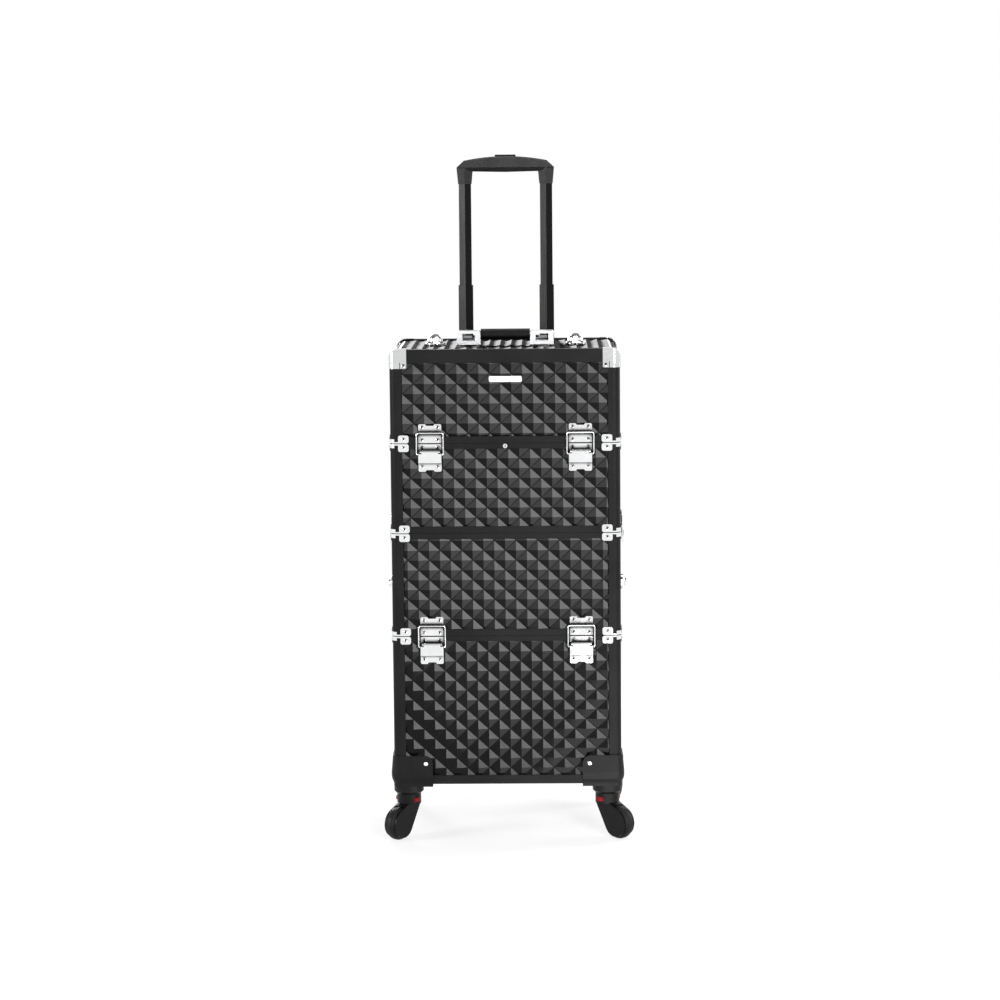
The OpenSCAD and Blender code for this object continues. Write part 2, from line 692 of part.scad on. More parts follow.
// One bent wire: a top bar, two sides and two ends that turn into the lever's holes
module latch_bail() {
    end_x = latch_w / 2 - lever_t - slide_gap;
    translate([0, -bail_out, 0]) {
        translate([-bail_x + bail_bend, 0, bail_top]) rotate([0, 90, 0])
            cylinder(d = bail_d, h = 2 * (bail_x - bail_bend));
        for (side = [0, 1]) mirror([side, 0, 0]) {
            translate([bail_x, 0, -bail_pivot_z + bail_bend])
                cylinder(d = bail_d, h = bail_top + bail_pivot_z - 2 * bail_bend);
            translate([end_x, 0, -bail_pivot_z]) rotate([0, 90, 0])
                cylinder(d = bail_d, h = bail_x - bail_bend - end_x);
            translate([bail_x - bail_bend, 0, bail_top - bail_bend]) rotate([90, 0, 0])
                rotate_extrude(angle = 90) translate([bail_bend, 0]) circle(d = bail_d);
            translate([bail_x - bail_bend, 0, -bail_pivot_z + bail_bend]) rotate([90, 0, 0])
                rotate([0, 0, -90]) rotate_extrude(angle = 90) translate([bail_bend, 0]) circle(d = bail_d);
        }
    }
}

// Lift-off hinge pieces on the rear face, with the seam at z = 0 and -Y away from the case
module hinge_pin_leaf() {
    box([-hinge_w / 2, hinge_w / 2], [-hinge_leaf_t, 0], [-hinge_leaf_h - 1, -1]);
    for (x = [-hinge_w / 2, hinge_w / 2 - hinge_ear_t]) {
        box([x, x + hinge_ear_t], [-hinge_out, -hinge_leaf_t + bite], [-hook_r - 3, -1]);
        translate([x, -hinge_out, 0]) rotate([0, 90, 0]) cylinder(r = hook_r, h = hinge_ear_t);
    }
    translate([-hinge_w / 2 + bite, -hinge_out, 0]) rotate([0, 90, 0])
        cylinder(d = hinge_pin_d, h = hinge_w - 2 * bite);
}

module hinge_hook_leaf() {
    half = hinge_w / 2 - hinge_ear_t - slide_gap;
    leaf = [1, 1 + hinge_leaf_h];
    mouth = hinge_pin_d / 2 + pin_gap;
    difference() {
        union() {
            box([-hinge_w / 2, hinge_w / 2], [-hinge_leaf_t, 0], leaf);
            box([-half, half], [-hinge_out, -hinge_leaf_t + bite], [1, hook_r]);
            translate([-half, -hinge_out, 0]) rotate([0, 90, 0]) cylinder(r = hook_r, h = 2 * half);
        }
        translate([-hinge_w, -hinge_out, 0]) rotate([0, 90, 0]) cylinder(r = mouth, h = 2 * hinge_w);
        box([-hinge_w, hinge_w], [-hinge_out - mouth, -hinge_out + mouth], [-hook_r - past, 0]);
    }
}

module on_hinges(seam_z) {
    for (x = [-hinge_x, hinge_x]) on_rear(x, seam_z) children();
}

// A turned chrome post with a stepped dome and a hole, standing on z = 0
module strap_post(h) {
    flange = post_flange_d / 2;
    rotate_extrude() polygon([
        [0, 0], [flange, 0], [flange, h * 0.16],
        [flange * 0.86, h * 0.26], [flange * 0.76, h * 0.26],
        [flange * 0.72, h * 0.6], [flange * 0.56, h * 0.76], [flange * 0.48, h * 0.76],
        [flange * 0.4, h * 0.94], [flange * 0.26, h], [post_hole_d / 2, h],
        [post_hole_d / 2, h * 0.5], [0, h * 0.5]]);
}

module carry_bracket() {
    slot_d = carry_tongue_d + 2 * slide_gap;
    window_z = [tip_z + bracket_sill_h, tip_z + bracket_sill_h + bracket_window_h];
    outer_x = carry_x0 + bracket_w;
    top = tip_z + bracket_h;
    chamfer = 2;
    difference() {
        translate([0, bracket_d / 2, 0]) rotate([90, 0, 0]) linear_extrude(bracket_d) polygon([
            [carry_x0, tip_z], [outer_x, tip_z], [outer_x, top - chamfer],
            [outer_x - chamfer, top], [carry_x0 + chamfer, top], [carry_x0, top - chamfer]]);
        box([bracket_mid - bracket_window_w / 2, bracket_mid + bracket_window_w / 2],
            [-bracket_d, bracket_d], window_z);
        box([carry_x0 - past, bracket_mid], [-slot_d / 2, slot_d / 2],
            [carry_tongue_z - slide_gap, window_z[1]]);
    }
}

module rounded_bar(half_x, d, z, r) {
    for (y = [-d / 2 + r, d / 2 - r], h = [z[0] + r, z[1] - r])
        translate([-half_x, y, h]) rotate([0, 90, 0]) cylinder(r = r, h = 2 * half_x);
    box([-half_x, half_x], [-d / 2 + r, d / 2 - r], z);
    box([-half_x, half_x], [-d / 2, d / 2], [z[0] + r, z[1] - r]);
}

// Handle tubes are hexagonal, with a ridge to the front
module hex_bar(af, z) {
    translate([0, 0, z[0]]) rotate([0, 0, 30]) cylinder(r = af / sqrt(3), h = z[1] - z[0], $fn = 6);
}

module hex_tubes(af, z) {
    for (x = [-tube_x, tube_x]) translate([x, tube_y, 0]) difference() {
        hex_bar(af, z);
        hex_bar(af - 2 * tube_wall, [z[0] - past, z[1] + past]);
    }
}

module tube_bracket(z) {
    back = tube_y + outer_corner + tube_bracket_t;
    bar_d = 10;
    difference() {
        union() {
            for (x = [-tube_x, tube_x])
                box([x - tube_bracket_w / 2, x + tube_bracket_w / 2], [case_d / 2, back], z);
            box([-tube_x, tube_x], [case_d / 2, case_d / 2 + bar_d], z);
        }
        for (x = [-tube_x, tube_x]) translate([x, tube_y, 0])
            hex_bar(outer_af + 2 * socket_gap, [z[0] - past, z[1] + past]);
    }
}

// A flat moulding drawn in XZ: its outline is bevelled towards a smaller front and rear face
module moulded_bar(outline, face) {
    hull() {
        translate([0, grip_d / 2 - grip_edge, 0]) rotate([90, 0, 0])
            linear_extrude(grip_d - 2 * grip_edge) polygon(outline);
        translate([0, grip_d / 2, 0]) rotate([90, 0, 0]) linear_extrude(grip_d) polygon(face);
    }
}

// Corner housings and casters are placed by their corner: x and y are -1 or 1
module at_swivel(x, y, turn) {
    translate([x * swivel_x, y * swivel_y, 0]) rotate([0, 0, turn]) children();
}

// The section of a housing's wall: away from the case, and up from the case's underside
module housing_section() {
    polygon([[socket_gap, housing_up], [housing_t, housing_up], [housing_swell, housing_up * 0.41],
             [housing_swell, housing_up * 0.26], [housing_swell * 0.8, housing_up * 0.16],
             [housing_swell * 0.4, housing_up * 0.07], [housing_foot_t, 0], [housing_foot_t, -housing_floor],
             [-bite, -housing_floor], [-bite, -socket_gap], [socket_gap, -socket_gap]]);
}

module corner_housing() {
    top = z_base + housing_up;
    foot = z_base - housing_floor;
    x0 = case_w / 2 - housing_w;
    y0 = case_d / 2 - housing_w;
    leaf = housing_w - corner_r;
    cut = housing_swell + 2 * past;
    taper_h = boss_h * 0.28;
    difference() {
        union() {
            intersection() {
                union() {
                    translate([x0, case_d / 2, z_base]) rotate([90, 0, 90]) linear_extrude(leaf)
                        housing_section();
                    translate([case_w / 2, case_d / 2 - corner_r, z_base]) rotate([90, 0, 0])
                        linear_extrude(leaf) housing_section();
                    translate([case_w / 2 - corner_r, case_d / 2 - corner_r, z_base])
                        rotate_extrude(angle = 90) translate([corner_r, 0]) housing_section();
                }
                union() {
                    box([x0, case_w], [y0, case_d], [foot - past, top - housing_round]);
                    box([x0 + housing_round, case_w], [y0 + housing_round, case_d], [foot, top + past]);
                    translate([x0 + housing_round, case_d / 2 - past, top - housing_round])
                        rotate([-90, 0, 0]) cylinder(r = housing_round, h = cut);
                    translate([case_w / 2 - past, y0 + housing_round, top - housing_round])
                        rotate([0, 90, 0]) cylinder(r = housing_round, h = cut);
                }
            }
            intersection() {
                case_block(0, [foot, z_base - socket_gap]);
                box([x0, case_w], [y0, case_d], [foot - past, z_base]);
            }
            translate([swivel_x, swivel_y, boss_foot + taper_h])
                cylinder(d = boss_d, h = boss_h - taper_h + housing_floor / 2);
            translate([swivel_x, swivel_y, boss_foot])
                cylinder(d1 = boss_d - boss_taper, d2 = boss_d, h = taper_h);
        }
        translate([swivel_x, swivel_y, boss_foot - past])
            cylinder(r = stem_d / 2 + pin_gap, h = boss_h + housing_floor + 2 * past);
    }
}

// A caster fork with its stem and axle; the wheel trails along +X from the swivel at the origin
module caster_fork(has_lock) {
    slot_half = lock_bar_w / 2 + slide_gap;
    difference() {
        union() {
            translate([0, 0, neck_foot]) cylinder(d = neck_d, h = neck_h);
            translate([0, 0, neck_top - bite])
                cylinder(d = stem_d, h = boss_h + housing_floor + swivel_gap - stem_short + bite);
            hull() {
                intersection() {
                    translate([0, 0, neck_foot]) cylinder(d = neck_d, h = 2, $fn = 32);
                    box([-neck_d, neck_d], [-fork_w / 2, fork_w / 2], [neck_foot - past, neck_top]);
                }
                translate([trail, fork_w / 2, axle_z]) rotate([90, 0, 0])
                    cylinder(d = cheek_d, h = fork_w, $fn = 40);
            }
        }
        translate([trail, fork_gap / 2, axle_z]) rotate([90, 0, 0])
            cylinder(r = wheel_d / 2 + wheel_room, h = fork_gap);
        translate([trail, fork_w, axle_z]) rotate([90, 0, 0])
            cylinder(r = axle_d / 2 + socket_gap, h = 2 * fork_w);
        if (has_lock)
            box([lock_bar_x - slot_half, lock_bar_x + slot_half], [-neck_d, neck_d],
                [lock_bar_z - slide_gap, lock_bar_z + lock_bar_h + slide_gap]);
    }
    translate([trail, fork_w / 2, axle_z]) rotate([90, 0, 0]) cylinder(d = axle_d, h = fork_w);
}

module caster_wheel() {
    r = wheel_d / 2;
    half = wheel_w / 2;
    bore = axle_d / 2 + pin_gap;
    hub = hub_d / 2;
    hub_half = fork_gap / 2 - hub_gap;
    web = half * 0.7;
    rim = r * 0.66;
    translate([trail, 0, axle_z]) rotate([90, 0, 0]) rotate_extrude() polygon([
        [bore, -hub_half], [hub, -hub_half], [hub, -web], [rim, -web], [rim, -half],
        [r - tyre_edge, -half], [r - tyre_round, -half * 0.68], [r, -half * 0.35],
        [r, half * 0.35], [r - tyre_round, half * 0.68], [r - tyre_edge, half],
        [rim, half], [rim, web], [hub, web], [hub, hub_half], [bore, hub_half]]);
}

module caster_lock_bar() {
    half = neck_d / 2 + lock_bar_out;
    box([lock_bar_x - lock_bar_w / 2, lock_bar_x + lock_bar_w / 2], [-half, half],
        [lock_bar_z, lock_bar_z + lock_bar_h]);
}

black = [0.03, 0.03, 0.03];
dark = [0.07, 0.07, 0.075];
lining = [0.05, 0.05, 0.055];
chrome = [0.86, 0.87, 0.88];
red = [0.75, 0.05, 0.07];

// Base
module base_walls() {
    color(lining) tier_walls(base_z, 0);
}
module base_skin() {
    color(black) tier_skin(base_z, base_rail_h, base_tip);
}
module base_frame() {
    color(dark) tier_frame(base_z, base_rail_h);
}
module base_clips() {
    color(chrome) seam_clips(z_seam3, -1);
}
module corner_housings() {
    color(dark) for (x = [0, 1], y = [0, 1]) mirror([x, 0, 0]) mirror([0, y, 0]) corner_housing();
}
module base_latch_plates() {
    color(chrome) for (x = [-latch_x, latch_x]) on_front(x, z_seam3) latch_base();
}
module base_hinge_pins() {
    color(chrome) on_hinges(z_seam3) hinge_pin_leaf();
}
module handle_brackets() {
    low = z_base + outer_tube_foot + 2;
    high = z_seam3 - 4;
    color(dark) {
        tube_bracket([low, low + tube_bracket_h]);
        tube_bracket([high - tube_bracket_h, high]);
    }
}
module outer_tubes() {
    color(dark) hex_tubes(outer_af, [z_base + outer_tube_foot, outer_tube_top]);
}

// Middle tier
module middle_walls() {
    color(lining) tier_walls(middle_z, floor_up);
}
module middle_skin() {
    color(black) tier_skin(middle_z, rim_h, middle_tip);
}
module middle_frame() {
    color(dark) tier_frame(middle_z, rim_h);
}
module middle_clips() {
    color(chrome) {
        seam_clips(middle_z[0], 1);
        seam_clips(middle_z[1], -1);
    }
}
module middle_latch_plates() {
    color(chrome) {
        for (x = [-latch_x, latch_x]) on_front(x, z_seam3) latch_catch();
        for (side = [-1, 1]) on_side(side, z_seam2) latch_base();
    }
}
module middle_hinge_hooks() {
    color(chrome) on_hinges(z_seam3) hinge_hook_leaf();
}
module side_posts() {
    color(chrome) for (side = [-1, 1])
        on_side(side, z_seam3 + side_post_up) translate([0, skin_inset, 0]) rotate([90, 0, 0])
        strap_post(side_post_h);
}

// Upper tier
module upper_walls() {
    color(lining) tier_walls(upper_z, floor_up);
}
module upper_skin() {
    color(black) tier_skin(upper_z, rim_h, upper_tip);
}
module upper_frame() {
    color(dark) difference() {
        tier_frame(upper_z, rim_h);
        on_front(0, z_seam1 - rim_top_h / 2) translate([0, past + cover_t, 0]) rotate([90, 0, 0])
            cylinder(r = key_lock_d / 2 + pin_gap, h = cover_t + 2 * past);
    }
}
module upper_clips() {
    color(chrome) {
        seam_clips(upper_z[0], 1);
        seam_clips(upper_z[1], -1);
    }
}
module upper_latch_plates() {
    color(chrome) {
        for (x = [-latch_x, latch_x]) on_front(x, z_seam1) latch_base();
        for (side = [-1, 1]) on_side(side, z_seam2) latch_catch();
    }
}
module upper_hinge_pins() {
    color(chrome) on_hinges(z_seam1) hinge_pin_leaf();
}
module lock_barrel() {
    face = 0.8;
    key_w = 1.2;
    key_h = key_lock_d * 0.6;
    color(chrome) on_front(0, z_seam1 - rim_top_h / 2) difference() {
        translate([0, cover_t - joint_gap, 0]) rotate([90, 0, 0])
            cylinder(d = key_lock_d, h = cover_t - joint_gap + face);
        box([-key_w / 2, key_w / 2], [-face - past, cover_t / 2], [-key_h / 2, key_h / 2]);
    }
}

// Lid
module lid_walls() {
    z0 = lid_z[0] + foot_t;
    inner_y = case_d / 2 - wall_t;
    half_y = inner_y - joint_gap;
    edge_x = case_w / 2 - lid_edge_r;
    edge_z = z_top - lid_edge_r;
    inner_r = max(lid_edge_r - wall_t, 1);
    color(lining) {
        both_faces() {
            lid_block(cover_t + socket_gap, [-inner_y - board_t, -inner_y], z0);
            box([-case_w / 2 + cover_t, -case_w / 2 + wall_t], [-half_y, half_y], [z0, edge_z - joint_gap]);
            translate([edge_x, half_y, edge_z]) rotate([90, 0, 0]) rotate_extrude(angle = 90)
                translate([inner_r, 0]) square([bend_flat_r - socket_gap - inner_r, 2 * half_y]);
        }
        box([-edge_x + joint_gap, edge_x - joint_gap], [-half_y, half_y], [z_top - wall_t, z_top - cover_t]);
    }
}
module lid_skin() {
    sheet_z = [lid_z[0] + rim_h + joint_gap, z_top - lid_rail_h - joint_gap];
    half_w = case_w / 2 - post_w - joint_gap;
    color(black) {
        both_faces()
            sheet_on_face(half_w, case_d / 2, sheet_z, [lid_tip[0], sheet_z[1] - sheet_z[0] - lid_tip[1]]);
        bent_pyramid_sheet(sheet_z[0], case_d / 2 - return_w - joint_gap);
    }
}
module lid_frame() {
    front = -case_d / 2;
    color(dark) {
        both_faces() difference() {
            intersection() {
                lid_block(0, [front, front + return_w], lid_z[0]);
                case_block(0, [lid_z[0] - past, z_top + past]);
            }
            lid_block(cover_t, [front + cover_t, front + return_w + past], lid_z[0] + foot_t);
            box([-case_w / 2 + cover_t, case_w / 2 - cover_t], [front + wall_t, front + return_w + past],
                [lid_z[0] - past, lid_z[0] + foot_t + past]);
            box([-case_w / 2 + post_w, case_w / 2 - post_w], [front - past, front + cover_t + past],
                [lid_z[0] + rim_h, z_top - lid_rail_h]);
        }
        for (side = [-1, 1]) side_rail(side, lid_z[0], 1, rim_h);
    }
}
module lid_clips() {
    color(chrome) seam_clips(lid_z[0], 1);
}
module lid_corner_caps() {
    y = [-case_d / 2 - cap_t, -case_d / 2 + return_w];
    z_low = z_top - cap_h;
    inner_x = case_w / 2 - cap_w;
    chamfer = 1.5;
    slit_in = 15.4;
    slit_w = 1;
    slit_top = z_low + cap_h * 0.32;
    rivet_in = rivet_r + 1.5;
    color(chrome) for (x = [0, 1], r = [0, 1]) mirror([x, 0, 0]) mirror([0, r, 0]) {
        intersection() {
            difference() {
                intersection() {
                    lid_block(-cap_t, y, z_low);
                    case_block(cap_t, [z_low, z_top + 2 * cap_t]);
                }
                intersection() {
                    lid_block(0, [-case_d / 2, y[1] + past], z_low - past);
                    case_block(0, [z_low - past, z_top + 2 * cap_t]);
                }
                box([case_w / 2 - slit_in - slit_w, case_w / 2 - slit_in], [y[0] - past, y[0] + cap_t + past],
                    [z_low - past, slit_top]);
            }
            translate([0, y[1], 0]) rotate([90, 0, 0]) linear_extrude(y[1] - y[0]) polygon([
                [inner_x, z_top + 2 * cap_t], [case_w, z_top + 2 * cap_t], [case_w, z_low],
                [inner_x + chamfer, z_low], [inner_x, z_low + chamfer]]);
        }
        translate([inner_x + rivet_in, -case_d / 2 - cap_t, z_low + rivet_in]) rivet_head();
    }
}
module lid_catches() {
    color(chrome) for (x = [-latch_x, latch_x]) on_front(x, z_seam1) latch_catch();
}
module lid_hinge_hooks() {
    color(chrome) on_hinges(z_seam1) hinge_hook_leaf();
}
module top_posts() {
    color(chrome) for (x = [-top_post_x, top_post_x]) translate([x, 0, tip_z]) strap_post(top_post_h);
}
module carry_brackets() {
    color(chrome) for (side = [0, 1]) mirror([side, 0, 0]) carry_bracket();
}
module carry_tongues() {
    head_x = [bracket_mid - bracket_window_w * 0.28, bracket_mid + bracket_window_w / 2 - 1.5];
    tongue_z = [carry_tongue_z, carry_tongue_z + carry_tongue_t];
    color(chrome) for (side = [0, 1]) mirror([side, 0, 0]) {
        box([carry_x0 - carry_root, head_x[1]], [-carry_tongue_d / 2, carry_tongue_d / 2], tongue_z);
        box(head_x, [-bracket_d / 2 + 1, bracket_d / 2 - 1], tongue_z);
    }
}
module carry_grip() {
    round_r = 7;
    color(black) difference() {
        rounded_bar(carry_x0 - slide_gap, carry_d, [carry_foot, carry_foot + carry_t], round_r);
        for (side = [0, 1]) mirror([side, 0, 0])
            box([carry_x0 - carry_root - socket_gap, carry_x0],
                [-carry_tongue_d / 2 - socket_gap, carry_tongue_d / 2 + socket_gap],
                [carry_tongue_z - socket_gap, carry_tongue_z + carry_tongue_t + socket_gap]);
    }
}

// Draw latches
module lid_lever_left() {
    color(chrome) on_front(-latch_x, z_seam1) latch_lever();
}
module lid_lever_right() {
    color(chrome) on_front(latch_x, z_seam1) latch_lever();
}
module base_lever_left() {
    color(chrome) on_front(-latch_x, z_seam3) latch_lever();
}
module base_lever_right() {
    color(chrome) on_front(latch_x, z_seam3) latch_lever();
}
module side_lever_left() {
    color(chrome) on_side(-1, z_seam2) latch_lever();
}
module side_lever_right() {
    color(chrome) on_side(1, z_seam2) latch_lever();
}
module lid_bail_left() {
    color(chrome) on_front(-latch_x, z_seam1) latch_bail();
}
module lid_bail_right() {
    color(chrome) on_front(latch_x, z_seam1) latch_bail();
}
module base_bail_left() {
    color(chrome) on_front(-latch_x, z_seam3) latch_bail();
}
module base_bail_right() {
    color(chrome) on_front(latch_x, z_seam3) latch_bail();
}
module side_bail_left() {
    color(chrome) on_side(-1, z_seam2) latch_bail();
}
module side_bail_right() {
    color(chrome) on_side(1, z_seam2) latch_bail();
}

// Trolley handle
module middle_tubes() {
    color(dark) hex_tubes(middle_af, [outer_tube_top - tube_hold, middle_tube_top]);
}
module inner_tubes() {
    color(dark) hex_tubes(inner_af, [middle_tube_top - tube_hold, grip_foot + grip_h * 0.5]);
}
module trolley_grip() {
    half = grip_w / 2;
    inner_x = half - grip_knee_w;
    shoulder_x = half - grip_shoulder;
    shoulder_z = grip_top - grip_arch;
    elbow_z = grip_foot + grip_h * 0.6;
    bar_z = grip_top - grip_bar_h;
    sag = 1.1;
    slope = 2;
    arch = [for (i = [-8:8])
        let (t = i / 8)
        [t * shoulder_x, shoulder_z + grip_arch * (1 - t * t)]];
    lower_arch = [for (p = arch) p - [0, slope]];
    color(black) difference() {
        translate([0, tube_y, 0]) {
            moulded_bar(
                concat([[-half, elbow_z]], arch,
                       [[half, elbow_z], [inner_x, bar_z + sag], [0, bar_z], [-inner_x, bar_z + sag]]),
                concat([[-half + grip_edge, elbow_z]], lower_arch,
                       [[half - grip_edge, elbow_z], [inner_x, bar_z + grip_bevel],
                        [-inner_x, bar_z + grip_bevel]]));
            for (x = [-tube_x, tube_x]) translate([x, 0, 0]) hull() {
                hex_bar(inner_af + 2 * grip_side, [grip_foot, grip_foot + slope]);
                hex_bar(grip_knee_w, [elbow_z - slope, elbow_z]);
            }
        }
        for (x = [-tube_x, tube_x]) translate([x, tube_y, 0])
            hex_bar(inner_af + 2 * socket_gap, [grip_foot - past, grip_foot + grip_h * 0.5 + socket_gap]);
        translate([0, tube_y, 0]) box([-button_w / 2 - slide_gap, button_w / 2 + slide_gap],
            [-button_d / 2 - slide_gap, button_d / 2 + slide_gap],
            [grip_top - button_root - button_room, grip_top + past]);
    }
}
module release_button() {
    color(dark) translate([0, tube_y, 0])
        box([-button_w / 2, button_w / 2], [-button_d / 2, button_d / 2],
            [grip_top - button_root, grip_top + button_out]);
}

// Casters
module fork_front_left() {
    color(dark) at_swivel(-1, -1, turn_front_left) caster_fork(true);
}
module fork_front_right() {
    color(dark) at_swivel(1, -1, turn_front_right) caster_fork(true);
}
module fork_rear_left() {
    color(dark) at_swivel(-1, 1, turn_rear_left) caster_fork(false);
}
module fork_rear_right() {
    color(dark) at_swivel(1, 1, turn_rear_right) caster_fork(false);
}
module wheel_front_left() {
    color(black) at_swivel(-1, -1, turn_front_left) caster_wheel();
}
module wheel_front_right() {
    color(black) at_swivel(1, -1, turn_front_right) caster_wheel();
}
module wheel_rear_left() {
    color(black) at_swivel(-1, 1, turn_rear_left) caster_wheel();
}
module wheel_rear_right() {
    color(black) at_swivel(1, 1, turn_rear_right) caster_wheel();
}
module lock_bar_front_left() {
    color(red) at_swivel(-1, -1, turn_front_left) caster_lock_bar();
}
module lock_bar_front_right() {
    color(red) at_swivel(1, -1, turn_front_right) caster_lock_bar();
}

base_walls();
base_skin();
base_frame();
base_clips();
corner_housings();
base_latch_plates();
base_hinge_pins();
handle_brackets();
outer_tubes();
middle_walls();
middle_skin();
middle_frame();
middle_clips();
middle_latch_plates();
middle_hinge_hooks();
side_posts();
upper_walls();
upper_skin();
upper_frame();
upper_clips();
upper_latch_plates();
upper_hinge_pins();
lock_barrel();
lid_walls();
lid_skin();
lid_frame();
lid_clips();
lid_corner_caps();
lid_catches();
lid_hinge_hooks();
top_posts();
carry_brackets();
carry_tongues();
carry_grip();
lid_lever_left();
lid_lever_right();
base_lever_left();
base_lever_right();
side_lever_left();
side_lever_right();
lid_bail_left();
lid_bail_right();
base_bail_left();
base_bail_right();
side_bail_left();
side_bail_right();
middle_tubes();
inner_tubes();
trolley_grip();
release_button();
fork_front_left();
fork_front_right();
fork_rear_left();
fork_rear_right();
wheel_front_left();
wheel_front_right();
wheel_rear_left();
wheel_rear_right();
lock_bar_front_left();
lock_bar_front_right();
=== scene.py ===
import json
import math

import bmesh
import bpy
from mathutils import Matrix, Vector


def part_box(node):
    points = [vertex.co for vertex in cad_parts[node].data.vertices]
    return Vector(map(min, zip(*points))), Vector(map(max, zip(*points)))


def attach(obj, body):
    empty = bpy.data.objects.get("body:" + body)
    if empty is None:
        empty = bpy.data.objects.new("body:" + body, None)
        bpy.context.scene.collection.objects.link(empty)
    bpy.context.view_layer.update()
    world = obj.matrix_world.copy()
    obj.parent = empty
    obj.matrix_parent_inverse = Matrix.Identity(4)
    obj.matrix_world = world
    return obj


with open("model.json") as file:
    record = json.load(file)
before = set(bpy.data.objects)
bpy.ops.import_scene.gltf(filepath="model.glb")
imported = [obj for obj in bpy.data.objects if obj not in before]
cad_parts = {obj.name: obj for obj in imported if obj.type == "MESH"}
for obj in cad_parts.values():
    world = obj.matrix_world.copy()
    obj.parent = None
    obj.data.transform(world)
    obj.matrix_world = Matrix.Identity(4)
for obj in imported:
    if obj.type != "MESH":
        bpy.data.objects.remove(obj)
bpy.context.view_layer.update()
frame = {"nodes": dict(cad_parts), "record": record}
nodes = frame["nodes"]
record = frame["record"]
scene = bpy.context.scene

MM = 0.001
RELIEF = 3.2 * MM  # height of the pyramids
BEND_R = 13.2 * MM  # radius of the lid's two rounded edges, measured to the pyramids' tips
WHITE = (1.0, 1.0, 1.0, 1.0)
NOISE_LOW, NOISE_HIGH = 0.35, 0.65  # most values of a noise texture lie between these


# Node helpers, for the materials and the stage

def add_node(tree, kind, **values):
    node = tree.nodes.new(kind)
    for key, value in values.items():
        setattr(node, key, value)
    return node


def calc(tree, operation, *values):
    """The result of a math operation on sockets and numbers."""
    node = add_node(tree, "ShaderNodeMath", operation=operation)
    for socket, value in zip(node.inputs, values):
        if isinstance(value, float):
            socket.default_value = value
        else:
            tree.links.new(value, socket)
    return node.outputs[0]


def remap(tree, value, low, high, start=NOISE_LOW, stop=NOISE_HIGH, curve="LINEAR"):
    """Goes from low to high while the value goes from start to stop."""
    node = add_node(tree, "ShaderNodeMapRange", interpolation_type=curve)
    for socket, number in (("From Min", start), ("From Max", stop), ("To Min", low), ("To Max", high)):
        node.inputs[socket].default_value = number
    tree.links.new(value, node.inputs["Value"])
    return node.outputs["Result"]


def ramp(tree, value, first, last):
    """A colour between two stops, each a position and a colour."""
    node = add_node(tree, "ShaderNodeValToRGB")
    for stop, (position, colour) in zip(node.color_ramp.elements, (first, last)):
        stop.position, stop.color = position, colour
    tree.links.new(value, node.inputs["Fac"])
    return node.outputs["Color"]


# Materials. Most take their slot's name from the record. They work in object coordinates, which are the
# part's own frame in metres, so that their grain has a real size.

